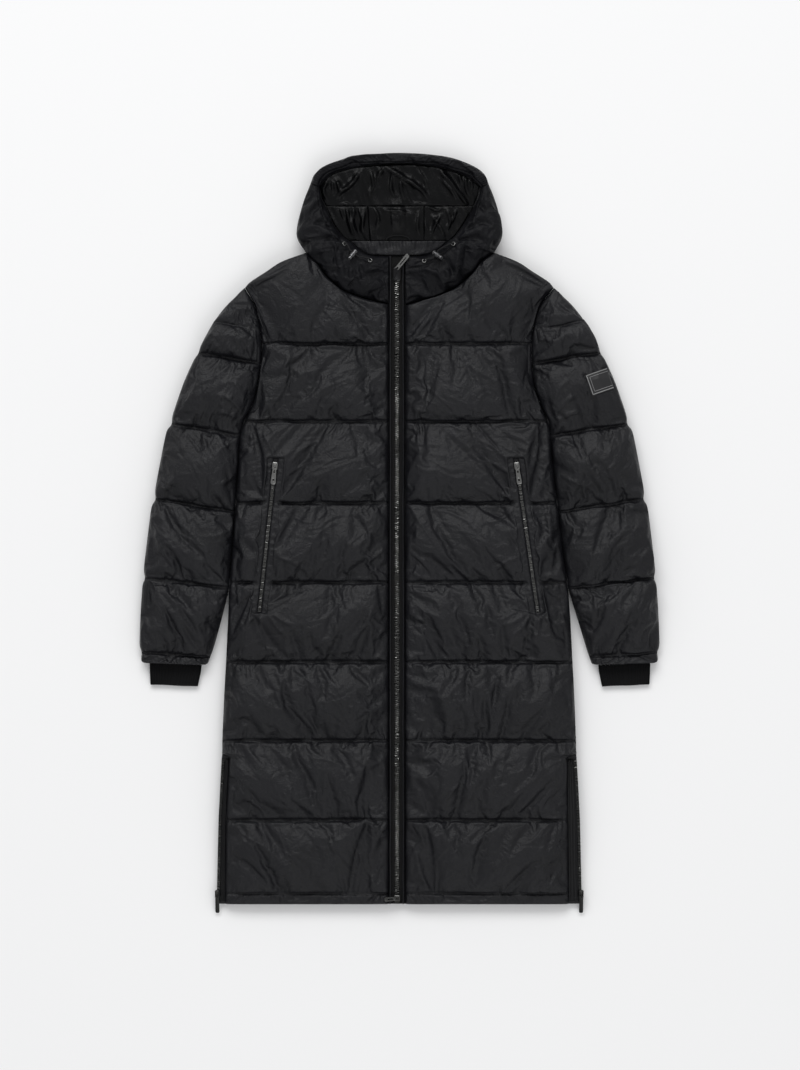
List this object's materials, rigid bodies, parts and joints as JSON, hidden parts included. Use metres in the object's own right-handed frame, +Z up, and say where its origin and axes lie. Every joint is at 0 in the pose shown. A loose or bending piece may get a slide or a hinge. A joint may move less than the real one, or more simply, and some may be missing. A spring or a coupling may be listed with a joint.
{
  "type": "long hooded puffer coat",
  "caption": "Long black hooded puffer coat laid flat and closed, with quilted channels, rib cuffs, slanting pocket zips, side vent zips and a hood drawcord.",
  "frame": {"origin": "middle of the outline's box, on the plane that the back lies on", "axes": "+X towards the wearer's left side, +Y towards the hood, +Z up out of the front"},
  "size_m": [0.885, 1.2936, 0.0583],
  "materials": {
    "nylon_black": "satin",
    "lining_black": "satin",
    "rib_black": "matte",
    "tape_black": "matte",
    "teeth_dark": "satin",
    "gunmetal": "satin",
    "nickel": "satin",
    "lock_plastic": "gloss",
    "elastic_black": "matte",
    "patch_rubber": "matte"
  },
  "bodies": {
    "coat": {"back": "nylon_black", "cord_lock_left": "lock_plastic", "cord_lock_right": "lock_plastic", "cuff_left": "rib_black", "cuff_right": "rib_black", "drawcord_left_lower": "elastic_black", "drawcord_left_upper": "elastic_black", "drawcord_right_lower": "elastic_black", "drawcord_right_upper": "elastic_black", "eyelet_left_lower": "nickel", "eyelet_left_upper": "nickel", "eyelet_right_lower": "nickel", "eyelet_right_upper": "nickel", "front_left": "nylon_black", "front_right": "nylon_black", "hanger_loop": "tape_black", "hood_back": "nylon_black", "hood_brim": "nylon_black", "hood_left": "nylon_black", "hood_lining_left": "lining_black", "hood_lining_middle": "lining_black", "hood_lining_right": "lining_black", "hood_lining_upper": "lining_black", "hood_right": "nylon_black", "main_zip_box": "nickel", "main_zip_chain": "teeth_dark", "main_zip_lower_slider": "gunmetal", "main_zip_slider": "gunmetal", "main_zip_tape": "tape_black", "neck_band": "nylon_black", "pocket_chain_left": "teeth_dark", "pocket_chain_right": "teeth_dark", "pocket_slider_left": "nickel", "pocket_slider_right": "nickel", "pocket_welt_left": "tape_black", "pocket_welt_right": "tape_black", "sleeve_patch": "patch_rubber", "sleeve_top_left": "nylon_black", "sleeve_top_right": "nylon_black", "sleeve_under_left": "nylon_black", "sleeve_under_right": "nylon_black", "vent_chain_left": "teeth_dark", "vent_chain_right": "teeth_dark", "vent_slider_left": "gunmetal", "vent_slider_right": "gunmetal", "vent_tape_left": "tape_black", "vent_tape_right": "tape_black", "zip_edging_left": "nylon_black", "zip_edging_right": "nylon_black"},
    "main_pull": {"main_zip_pull": "nickel"},
    "lower_pull": {"main_zip_lower_pull": "nickel"},
    "pocket_pull_r": {"pocket_pull_right": "nickel"},
    "pocket_pull_l": {"pocket_pull_left": "nickel"},
    "vent_pull_r": {"vent_pull_right": "gunmetal"},
    "vent_pull_l": {"vent_pull_left": "gunmetal"},
    "button_r": {"lock_button_right": "lock_plastic"},
    "button_l": {"lock_button_left": "lock_plastic"}
  },
  "joints": [
    {"name": "main_pull_swing", "type": "hinge", "parent": "coat", "child": "main_pull", "pos_m": [-0.0042, 0.4501, 0.0323], "axis": [0.766, -0.6428, 0], "range_deg": [0, 150]},
    {"name": "lower_pull_swing", "type": "hinge", "parent": "coat", "child": "lower_pull", "pos_m": [-0.0042, -0.62078, 0.02103], "axis": [-0.0599, 0.9982, 0], "range_deg": [0, 150]},
    {"name": "pocket_pull_swing_r", "type": "hinge", "parent": "coat", "child": "pocket_pull_r", "pos_m": [-0.21121, 0.11301, 0.0469], "axis": [-0.9943, 0.1067, 0], "range_deg": [0, 150]},
    {"name": "pocket_pull_swing_l", "type": "hinge", "parent": "coat", "child": "pocket_pull_l", "pos_m": [0.19921, 0.11302, 0.0469], "axis": [-0.9899, -0.1415, 0], "range_deg": [0, 150]},
    {"name": "vent_pull_swing_r", "type": "hinge", "parent": "coat", "child": "vent_pull_r", "pos_m": [-0.31032, -0.6169, 0.01878], "axis": [-1, 0, 0], "range_deg": [0, 150]},
    {"name": "vent_pull_swing_l", "type": "hinge", "parent": "coat", "child": "vent_pull_l", "pos_m": [0.30943, -0.6169, 0.01878], "axis": [-1, 0, 0], "range_deg": [0, 150]},
    {"name": "button_press_r", "type": "slide", "parent": "coat", "child": "button_r", "axis": [0.5967, 0.7506, -0.2839], "range_m": [0, 0.003], "stiffness_N_per_m": 300},
    {"name": "button_press_l", "type": "slide", "parent": "coat", "child": "button_l", "axis": [-0.7065, 0.5456, -0.4507], "range_m": [0, 0.003], "stiffness_N_per_m": 300}
  ]
}
